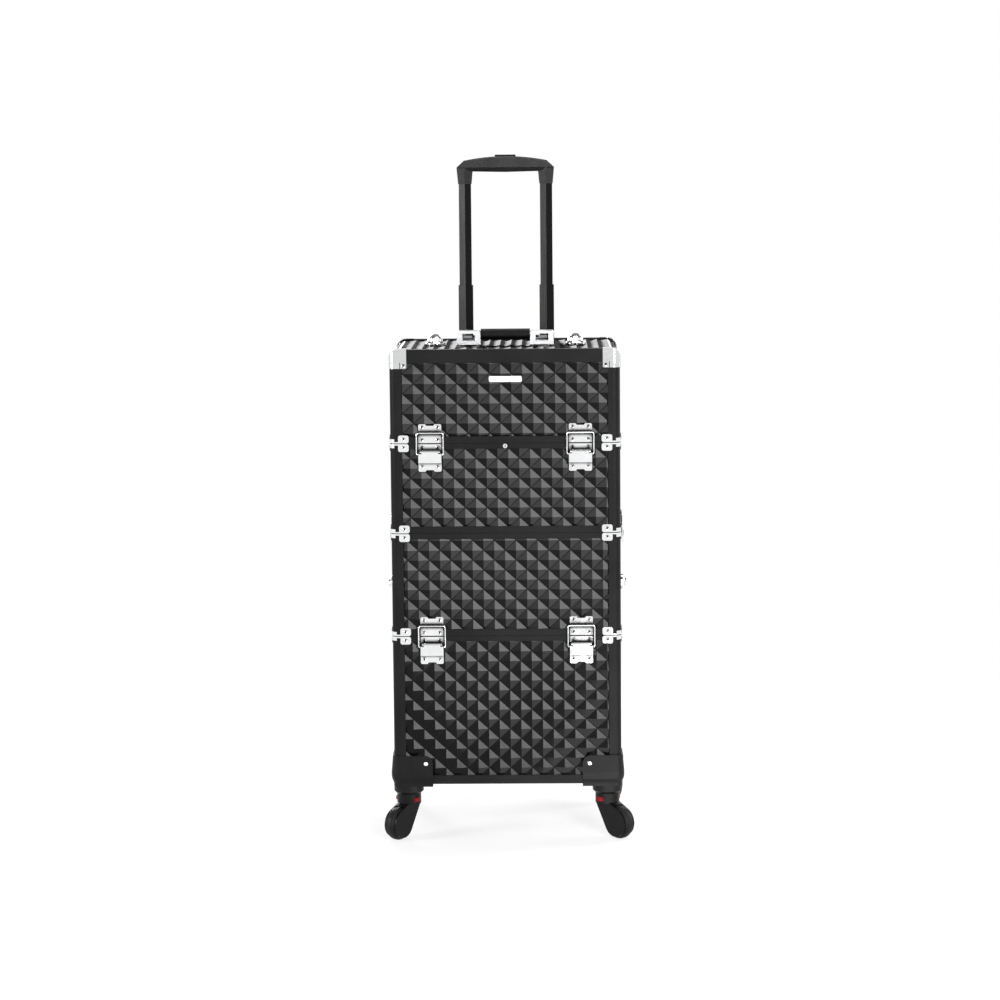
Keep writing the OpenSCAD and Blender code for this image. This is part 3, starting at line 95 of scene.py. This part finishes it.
class Shader:
    """A node material with one Principled shader."""

    HOLLOW, OPEN = 0.76, 0.94  # openness at which the painted crevice shade is darkest, and from which there is none
    DOWN, LEVEL = -0.3, -0.1  # Z of the normal where the painted underside shade is full, and where it starts

    def __init__(self, name, colour, roughness, metallic=0.0, specular=0.5):
        self.mat = bpy.data.materials.new(name)
        self.mat.use_nodes = True
        self.mat.diffuse_color = (*colour, 1.0)
        self.tree = self.mat.node_tree
        self.shader = self.tree.nodes["Principled BSDF"]
        self.colour = colour
        self.set("Base Color", (*colour, 1.0))
        self.set("Roughness", roughness)
        self.set("Metallic", metallic)
        self.set("Specular IOR Level", specular)
        self.coords = self.add("ShaderNodeTexCoord").outputs["Object"]
        self.paint = None
        self.relief = None

    def add(self, kind, **values):
        return add_node(self.tree, kind, **values)

    def link(self, source, target):
        self.tree.links.new(source, target)

    def set(self, socket, value):
        self.shader.inputs[socket].default_value = value

    def calc(self, operation, *values):
        return calc(self.tree, operation, *values)

    def noise(self, scale, detail=3.0, stretch=(1, 1, 1)):
        """Noise with this many features to a metre."""
        place = self.add("ShaderNodeMapping")
        place.inputs["Scale"].default_value = stretch
        self.link(self.coords, place.inputs["Vector"])
        tex = self.add("ShaderNodeTexNoise")
        tex.inputs["Scale"].default_value = scale
        tex.inputs["Detail"].default_value = detail
        tex.inputs["Roughness"].default_value = 0.55
        self.link(place.outputs["Vector"], tex.inputs["Vector"])
        return tex.outputs["Fac"]

    def cells(self, scale):
        """Pebbles, this many to a metre."""
        tex = self.add("ShaderNodeTexVoronoi")
        tex.inputs["Scale"].default_value = scale
        self.link(self.coords, tex.inputs["Vector"])
        return tex.outputs["Distance"]

    def waves(self, scale, direction):
        """Threads that follow one another along an axis."""
        tex = self.add("ShaderNodeTexWave", bands_direction=direction)
        tex.inputs["Scale"].default_value = scale
        tex.inputs["Distortion"].default_value = 0.6
        tex.inputs["Detail"].default_value = 1.0
        self.link(self.coords, tex.inputs["Vector"])
        return tex.outputs["Fac"]

    def axes(self, vector):
        split = self.add("ShaderNodeSeparateXYZ")
        self.link(vector, split.inputs[0])
        return split.outputs[:]

    def tint(self, pattern, low, high):
        """The paint varies with a pattern between these multiples of its colour."""
        dark, light = ((*(min(1.0, c * factor) for c in self.colour), 1.0) for factor in (low, high))
        self.paint = ramp(self.tree, pattern, (NOISE_LOW, dark), (NOISE_HIGH, light))
        self.link(self.paint, self.shader.inputs["Base Color"])

    def darken(self, shade):
        """Multiplies the paint with a shade of grey."""
        mix = self.add("ShaderNodeMix", data_type="RGBA", blend_type="MULTIPLY")
        mix.inputs["Factor"].default_value = 1.0
        self.link(self.paint, mix.inputs["A"])
        self.link(shade, mix.inputs["B"])
        self.link(mix.outputs["Result"], self.shader.inputs["Base Color"])

    def painted_crevice_shade(self, reach, left):
        """Painted shade: darkens the paint in gaps and hollows, where other surfaces stand closer than this
        reach in metres.
        """
        hollow = self.add("ShaderNodeAmbientOcclusion", samples=12)
        hollow.inputs["Distance"].default_value = reach
        darkest_shade = (left, left, left, 1.0)
        self.darken(ramp(self.tree, hollow.outputs["AO"], (self.HOLLOW, darkest_shade), (self.OPEN, WHITE)))

    def painted_underside_shade(self, left):
        """Painted shade: darkens the paint where the surface faces down."""
        up = self.axes(self.add("ShaderNodeNewGeometry").outputs["Normal"])[2]
        self.darken(remap(self.tree, up, left, 1.0, self.DOWN, self.LEVEL))

    def rough(self, pattern, low, high):
        """The roughness varies with a pattern."""
        self.link(remap(self.tree, pattern, low, high), self.shader.inputs["Roughness"])

    def bump(self, pattern, depth, strength):
        """Relief of this depth in metres, over what relief there is."""
        node = self.add("ShaderNodeBump")
        node.inputs["Strength"].default_value = strength
        node.inputs["Distance"].default_value = depth
        self.link(pattern, node.inputs["Height"])
        if self.relief:
            self.link(self.relief, node.inputs["Normal"])
        self.relief = node.outputs["Normal"]
        self.link(self.relief, self.shader.inputs["Normal"])


def pyramid_sheet():
    s = Shader("pyramid_sheet", (0.0035, 0.0035, 0.0036), roughness=0.15, specular=0.12)
    s.tint(s.noise(9), 0.7, 1.4)
    s.bump(s.noise(900, detail=2), depth=0.02 * MM, strength=0.4)
    # The creases between the pyramids are dull. What counts is how far a point lies above them: on the
    # front and rear sheets along Y, and on those of the sides and of the lid's bent top round its bends
    _, tip_y, tip_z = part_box("lid_skin")[1]
    tip_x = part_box("base_skin")[1][0]
    x, y, z = s.axes(s.coords)
    over_x = s.calc("MAXIMUM", s.calc("SUBTRACT", s.calc("ABSOLUTE", x), tip_x - BEND_R), 0.0)
    over_z = s.calc("MAXIMUM", s.calc("SUBTRACT", z, tip_z - BEND_R), 0.0)
    squares = (s.calc("MULTIPLY", over, over) for over in (over_x, over_z))
    from_bend = s.calc("SQRT", s.calc("ADD", *squares))
    above = s.calc("MAXIMUM", s.calc("SUBTRACT", from_bend, BEND_R - RELIEF),
                   s.calc("SUBTRACT", s.calc("ABSOLUTE", y), tip_y - RELIEF))
    crease_low, crease_high, crease_rough = 0.05 * MM, 0.22 * MM, 0.75
    crease = remap(s.tree, above, crease_rough, 0.0, crease_low, crease_high)
    facet = remap(s.tree, s.noise(60, detail=4), 0.12, 0.18)
    s.link(s.calc("ADD", crease, facet), s.shader.inputs["Roughness"])
    return s.mat


def profile():
    s = Shader("profile", (0.0105, 0.0105, 0.0108), roughness=0.4, specular=0.07)
    s.tint(s.noise(14), 0.85, 1.2)
    s.rough(s.noise(220, detail=4), 0.34, 0.46)
    s.bump(s.noise(1600, detail=2), depth=0.03 * MM, strength=0.5)
    return s.mat


def chrome(name="chrome", colour=(0.88, 0.885, 0.89), reach=7 * MM, rough=(0.07, 0.15)):
    s = Shader(name, colour, roughness=0.1, metallic=1.0)
    s.tint(s.noise(35), 0.95, 1.04)
    # Painted shade in the gaps between plates, bails and rivets, and in the rivets' hollows
    s.painted_crevice_shade(reach, left=0.03)
    s.rough(s.noise(160, detail=5), *rough)
    s.bump(s.noise(500, stretch=(1, 1, 4)), depth=0.01 * MM, strength=0.4)
    return s.mat


def moulding(name="moulding", colour=(0.0078, 0.0078, 0.0081)):
    s = Shader(name, colour, roughness=0.35, specular=0.12)
    s.tint(s.noise(20), 0.85, 1.2)
    s.rough(s.noise(120), 0.3, 0.42)
    s.bump(s.cells(1100), depth=0.05 * MM, strength=0.35)
    return s.mat


def handle_tube():
    s = Shader("handle_tube", (0.0035, 0.0035, 0.0036), roughness=0.3, specular=0.12)
    s.tint(s.noise(25, detail=2, stretch=(1, 1, 0.15)), 0.85, 1.2)
    lines = s.noise(900, stretch=(1, 1, 0.02))
    s.rough(lines, 0.25, 0.36)
    s.bump(lines, depth=0.02 * MM, strength=0.4)
    return s.mat


def grip(name="grip", colour=(0.03, 0.03, 0.031)):
    s = Shader(name, colour, roughness=0.55, specular=0.15)
    s.tint(s.noise(30), 0.85, 1.2)
    # Painted shade on the grip's downward faces
    s.painted_underside_shade(left=0.25)
    s.rough(s.noise(150), 0.48, 0.62)
    s.bump(s.cells(1500), depth=0.06 * MM, strength=0.4)
    return s.mat


def wheel():
    s = Shader("wheel", (0.01, 0.01, 0.0105), roughness=0.45, specular=0.15)
    s.tint(s.noise(60), 0.8, 1.4)
    s.rough(s.noise(240, detail=4), 0.38, 0.6)
    s.bump(s.noise(700), depth=0.05 * MM, strength=0.4)
    return s.mat


def lock_red():
    s = Shader("lock_red", (0.24, 0.005, 0.01), roughness=0.35, specular=0.15)
    s.tint(s.noise(120, detail=2), 0.85, 1.1)
    s.rough(s.noise(300), 0.3, 0.45)
    s.bump(s.noise(900, detail=2), depth=0.04 * MM, strength=0.3)
    return s.mat


def lining_board():
    s = Shader("lining_board", (0.03, 0.03, 0.032), roughness=0.85, specular=0.15)
    s.set("Sheen Weight", 0.15)
    s.tint(s.noise(40, detail=4), 0.75, 1.3)
    s.rough(s.noise(300), 0.78, 0.92)
    for direction in ("X", "Z"):
        s.bump(s.waves(260, direction), depth=0.1 * MM, strength=0.4)
    return s.mat


def plate_metal():
    s = Shader("plate_metal", (0.92, 0.92, 0.92), roughness=0.3, metallic=1.0)
    lines = s.noise(2500, detail=2, stretch=(0.02, 1, 1))
    s.tint(s.noise(60, detail=2), 0.97, 1.03)
    s.rough(lines, 0.24, 0.36)
    s.bump(lines, depth=0.01 * MM, strength=0.4)
    return s.mat


MATERIALS = {make.__name__: make() for make in (
    pyramid_sheet, profile, chrome, moulding, handle_tube, grip, wheel, lock_red, lining_board)}
plate_finish = plate_metal()
# Near-black finish of the plugs that paint the shade in the rivets' hollows
shade_plug_finish = chrome("painted_hollow_shade", (0.012, 0.012, 0.0125), rough=(0.4, 0.55))
fork_finish = moulding("caster_moulding", (0.005, 0.005, 0.0052))
# Nodes whose finish differs from that of their slot
FINISHES = {
    "carry_tongues": chrome("dull_steel", (0.3, 0.3, 0.31)),
    "carry_grip": grip("black_grip", (0.004, 0.004, 0.0042)),
    "lid_corner_caps": chrome("satin_chrome", (0.68, 0.685, 0.69)),
    "carry_brackets": chrome("cast_chrome", (0.62, 0.625, 0.63), reach=2.5 * MM, rough=(0.38, 0.46)),
    "top_posts": chrome("turned_chrome", reach=2.5 * MM),
    "fork_front_left": fork_finish,
    "fork_front_right": fork_finish,
    "fork_rear_left": fork_finish,
    "fork_rear_right": fork_finish,
}
for part in record["subparts"]:
    mesh = nodes[part["node"]].data
    mesh.materials.clear()
    mesh.materials.append(FINISHES.get(part["node"], MATERIALS[part["material_slot"]]))


# Small pieces that only the looks need

def piece(name, bm, body, material):
    """Makes a mesh a piece that moves with a body."""
    mesh = bpy.data.meshes.new(name)
    bm.to_mesh(mesh)
    bm.free()
    obj = bpy.data.objects.new(name, mesh)
    scene.collection.objects.link(obj)
    mesh.materials.append(material)
    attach(obj, body)


def facing(place, out):
    """Frame at a place with +Z out of the surface and +Y up."""
    z = Vector(out).normalized()
    x = Vector((0, 0, 1)).cross(z).normalized()
    y = z.cross(x)
    m = Matrix((x, y, z)).transposed().to_4x4()
    m.translation = Vector(place)
    return m


def lathe(bm, place, rings, steps=20):
    """A solid of revolution round a frame's +Z from its foot: rings of (radius, height)."""
    loops = []
    for radius, height in rings:
        if radius == 0:
            loops.append([bm.verts.new(place @ Vector((0, 0, height)))])
        else:
            turns = (2 * math.pi * k / steps for k in range(steps))
            loops.append([bm.verts.new(place @ Vector((radius * math.cos(t), radius * math.sin(t), height)))
                          for t in turns])
    bm.faces.new(reversed(loops[0]))
    for low, high in zip(loops, loops[1:]):
        for k in range(steps):
            n = (k + 1) % steps
            face = [low[k], low[n], high[0]] if len(high) == 1 else [low[k], low[n], high[n], high[k]]
            bm.faces.new(face).smooth = True


def dome(bm, place, r, h):
    """A rivet's head with a small hollow in its middle, sunk a little into the surface."""
    sunk = -0.3 * MM
    lathe(bm, place, [(r, sunk), (r, 0.12 * h), (r * 0.93, 0.42 * h), (r * 0.76, 0.7 * h),
                      (r * 0.45, 0.92 * h), (r * 0.28, 0.96 * h), (r * 0.22, 0.8 * h), (0, 0.76 * h)])


def round_flats(obj, radius):
    """Middle and direction of each flat disc of this radius in a node's mesh."""
    same_plane, area_error, reach_error = 0.9999, 0.06, 0.05
    bm = bmesh.new()
    bm.from_mesh(obj.data)
    found, done = [], set()
    for first in bm.faces:
        if first in done:
            continue
        flat, queue = [], [first]
        done.add(first)
        while queue:
            face = queue.pop()
            flat.append(face)
            for near in (f for edge in face.edges for f in edge.link_faces):
                if near not in done and near.normal.dot(first.normal) > same_plane:
                    done.add(near)
                    queue.append(near)
        area = sum(face.calc_area() for face in flat)
        if abs(area / (math.pi * radius * radius) - 1) < area_error:
            middle = sum((face.calc_center_median() * face.calc_area() for face in flat), Vector()) / area
            reach = max((v.co - middle).length for face in flat for v in face.verts)
            if abs(reach / radius - 1) < reach_error:
                found.append((middle, first.normal.copy()))
    bm.free()
    return found


# Painted shade: near-black plugs in the hollows of the rivets' heads, standing in for the shade in their
# holes
hollow_r, shade_plug_r, shade_plug_h = 1.064 * MM, 1.45 * MM, 0.58 * MM
shade_plug = [(shade_plug_r * 0.7, 0), (shade_plug_r, shade_plug_h * 0.86), (shade_plug_r * 0.93, shade_plug_h),
        (shade_plug_r * 0.5, shade_plug_h * 1.05), (0, shade_plug_h * 0.8)]
for body, holders in (("lid", ("lid_catches", "lid_clips", "lid_corner_caps")),
                      ("upper", ("upper_latch_plates", "upper_clips")),
                      ("middle", ("middle_latch_plates", "middle_clips")),
                      ("base", ("base_latch_plates", "base_clips"))):
    bm = bmesh.new()
    for node in holders:
        for middle, out in round_flats(nodes[node], hollow_r):
            lathe(bm, facing(middle, out), shade_plug)
    piece(body + "_rivet_shade_plugs", bm, body, shade_plug_finish)

# Rivets that hold the corner housings, on their slightly sloping walls
case_x, case_y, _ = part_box("base_frame")[1]
housing_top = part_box("corner_housings")[1][2]
rivet_in, rivet_z, wall = 47.6 * MM, housing_top - 11.6 * MM, 3.1 * MM
slope, head_r, head_h = 0.087, 3.5 * MM, 1.6 * MM
bm = bmesh.new()
for sx in (-1, 1):
    for sy in (-1, 1):
        on_end = facing((sx * (case_x - rivet_in), sy * (case_y + wall), rivet_z), (0, sy, slope))
        on_side = facing((sx * (case_x + wall), sy * (case_y - rivet_in), rivet_z), (sx, 0, slope))
        for place in (on_end, on_side):
            dome(bm, place, head_r, head_h)
piece("housing_rivets", bm, "base", MATERIALS["chrome"])

# Rivets in the leaves of the rear hinges
leaf_t, leaf_half, from_edge, apart = 1.5 * MM, 18 * MM, 9 * MM, 11 * MM
head_r, head_h = 2.2 * MM, 0.9 * MM
for node, body, at_foot in (("base_hinge_pins", "base", True), ("middle_hinge_hooks", "middle", False),
                            ("upper_hinge_pins", "upper", True), ("lid_hinge_hooks", "lid", False)):
    low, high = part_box(node)
    z = low[2] + from_edge if at_foot else high[2] - from_edge
    bm = bmesh.new()
    for sx in (-1, 1):
        for step in (-1, 0, 1):
            x = sx * (high[0] - leaf_half) + step * apart
            dome(bm, facing((x, case_y + leaf_t, z), (0, 1, 0)), head_r, head_h)
    piece(node + "_rivets", bm, body, MATERIALS["chrome"])

# Bare plate on the lid's front: its outline, from the back over a raised rim to the field
sheet_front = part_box("lid_skin")[0][1]
half_w, half_h, corner, least_r, edge = 24.2 * MM, 4.5 * MM, 2.0 * MM, 0.3 * MM, 0.35 * MM
back_z, wall_z, rim_z, field_z = -0.2 * MM, 0.8 * MM, 1.15 * MM, 1.0 * MM
plate_x, plate_z = 1.1 * MM, 691 * MM
corner_steps = 6
place = facing((plate_x, sheet_front, plate_z), (0, -1, 0))
bm = bmesh.new()
loops = []
for inset, height in ((0, back_z), (0, wall_z), (edge, rim_z), (4 * edge, rim_z), (5 * edge, field_z)):
    r = max(corner - inset, least_r)
    loop = []
    for cx, cy, start in ((1, 1, 0), (-1, 1, 90), (-1, -1, 180), (1, -1, 270)):
        for k in range(corner_steps + 1):
            t = math.radians(start + 90 * k / corner_steps)
            x = cx * (half_w - inset - r) + r * math.cos(t)
            y = cy * (half_h - inset - r) + r * math.sin(t)
            loop.append(bm.verts.new(place @ Vector((x, y, height))))
    loops.append(loop)
for low, high in zip(loops, loops[1:]):
    for k in range(len(low)):
        n = (k + 1) % len(low)
        bm.faces.new([low[k], low[n], high[n], high[k]])
bm.faces.new(loops[-1])
bm.faces.new(reversed(loops[0]))
piece("lid_plate", bm, "lid", plate_finish)


# Stage: white room and floor, with softboxes round the object

def white_where_seen(tree, strength):
    """1 for camera, glossy and transmission rays, and the given strength for the others."""
    path = add_node(tree, "ShaderNodeLightPath").outputs
    seen = calc(tree, "MAXIMUM", path["Is Camera Ray"], path["Is Glossy Ray"])
    seen = calc(tree, "MAXIMUM", seen, path["Is Transmission Ray"])
    return remap(tree, seen, strength, 1.0, 0.0, 1.0)


# The room is white round the horizon and grey overhead
horizon, overhead, overhead_grey, room_light = 0.22, 0.5, (0.25, 0.25, 0.25, 1.0), 0.35
world = bpy.data.worlds.new("studio")
world.use_nodes = True
scene.world = world
tree = world.node_tree
background = tree.nodes["Background"]
split = add_node(tree, "ShaderNodeSeparateXYZ")
tree.links.new(add_node(tree, "ShaderNodeTexCoord").outputs["Generated"], split.inputs["Vector"])
room = ramp(tree, split.outputs["Z"], (horizon, WHITE), (overhead, overhead_grey))
tree.links.new(room, background.inputs["Color"])
tree.links.new(white_where_seen(tree, room_light), background.inputs["Strength"])

# The floor takes the shadows near the object and is plain white farther off
floor_grey, floor_light, near_glow, far_glow = (0.35, 0.35, 0.35, 1.0), 0.2, 0.72, 1.0
fade_from, fade_to, floor_half = 0.9, 1.5, 20
floor_mat = bpy.data.materials.new("floor")
floor_mat.use_nodes = True
tree = floor_mat.node_tree
tree.nodes.remove(tree.nodes["Principled BSDF"])
matte = add_node(tree, "ShaderNodeBsdfDiffuse")
matte.inputs["Color"].default_value = floor_grey
seen = white_where_seen(tree, floor_light)
glows = []
for level in (near_glow, far_glow):
    glow = add_node(tree, "ShaderNodeEmission")
    tree.links.new(calc(tree, "MULTIPLY", seen, level), glow.inputs["Strength"])
    glows.append(glow.outputs[0])
near = add_node(tree, "ShaderNodeAddShader")
tree.links.new(matte.outputs[0], near.inputs[0])
tree.links.new(glows[0], near.inputs[1])
distance = add_node(tree, "ShaderNodeVectorMath", operation="LENGTH")
tree.links.new(add_node(tree, "ShaderNodeTexCoord").outputs["Object"], distance.inputs[0])
fade = remap(tree, distance.outputs["Value"], 0.0, 1.0, fade_from, fade_to, curve="SMOOTHSTEP")
both = add_node(tree, "ShaderNodeMixShader")
tree.links.new(fade, both.inputs[0])
tree.links.new(near.outputs[0], both.inputs[1])
tree.links.new(glows[1], both.inputs[2])
tree.links.new(both.outputs[0], tree.nodes["Material Output"].inputs["Surface"])
bm = bmesh.new()
bmesh.ops.create_grid(bm, x_segments=8, y_segments=8, size=floor_half)
floor_mesh = bpy.data.meshes.new("floor")
bm.to_mesh(floor_mesh)
bm.free()
floor = bpy.data.objects.new("floor", floor_mesh)
scene.collection.objects.link(floor)
floor_mesh.materials.append(floor_mat)


def softbox(name, place, target, size, radiance):
    """A rectangular lamp of this size, with its power worked out from how bright its face is."""
    light = bpy.data.lights.new(name, "AREA")
    light.shape = "RECTANGLE"
    light.size, light.size_y = size
    light.energy = radiance * math.pi * size[0] * size[1]
    obj = bpy.data.objects.new(name, light)
    obj.location = place
    obj.rotation_mode = "QUATERNION"
    obj.rotation_quaternion = (Vector(target) - Vector(place)).to_track_quat("-Z", "Y")
    obj.visible_camera = False
    scene.collection.objects.link(obj)


# Each side has a tall softbox at its upper right, and the front and the rear have a dimmer one at their
# upper left too. Two panels on the floor light the front from below, and two lamps hang above
front, rear = (0, -0.12, 0.41), (0, 0.12, 0.41)
tall, wide = (0.75, 1.1), (0.85, 0.9)
softbox("key", (0.97, -2.45, 1.12), front, tall, radiance=18.5)
softbox("upper_left", (-1.0, -2.3, 1.38), front, wide, radiance=4.5)
softbox("left", (-2.5, -1.05, 1.0), (-0.17, 0, 0.6), (0.65, 1.1), radiance=18)
softbox("right", (2.5, 0.97, 1.12), (0.17, 0, 0.41), tall, radiance=14)
softbox("rear", (-0.97, 2.45, 1.12), rear, tall, radiance=16)
softbox("rear_left", (1.0, 2.3, 1.38), rear, wide, radiance=4.5)
softbox("floor_far", (0.42, -0.95, 0.012), (0.42, -0.95, 1.0), (0.84, 0.9), radiance=5)
softbox("floor_near", (0.22, -0.35, 0.012), (0.22, -0.35, 1.0), (0.44, 0.3), radiance=3.6)
softbox("top", (0.2, 0.5, 3.0), front, (1.4, 1.4), radiance=6)
softbox("rear_top", (-0.4, 2.6, 2.1), (0, 0, 0.74), (0.75, 0.5), radiance=4.5)

# Camera, from a fit of the part's own points to the photograph
camera = bpy.data.cameras.new("camera")
camera.sensor_width = 36
camera.lens = 98.213
camera.shift_y = -0.045
camera.clip_end = 100
eye = (0.05904, -4.12, 1.0217)
yaw, pitch, roll = -0.01668, 0.11033, -0.0086
ahead = Vector((math.sin(yaw) * math.cos(pitch), math.cos(yaw) * math.cos(pitch), -math.sin(pitch)))
level_right = Vector((math.cos(yaw), -math.sin(yaw), 0))
level_up = level_right.cross(ahead)
right = level_right * math.cos(roll) + level_up * math.sin(roll)
up = level_up * math.cos(roll) - level_right * math.sin(roll)
view = bpy.data.objects.new("camera", camera)
view.matrix_world = Matrix.Translation(eye) @ Matrix((right, up, -ahead)).transposed().to_4x4()
scene.collection.objects.link(view)
scene.camera = view

scene.view_settings.view_transform = "Standard"
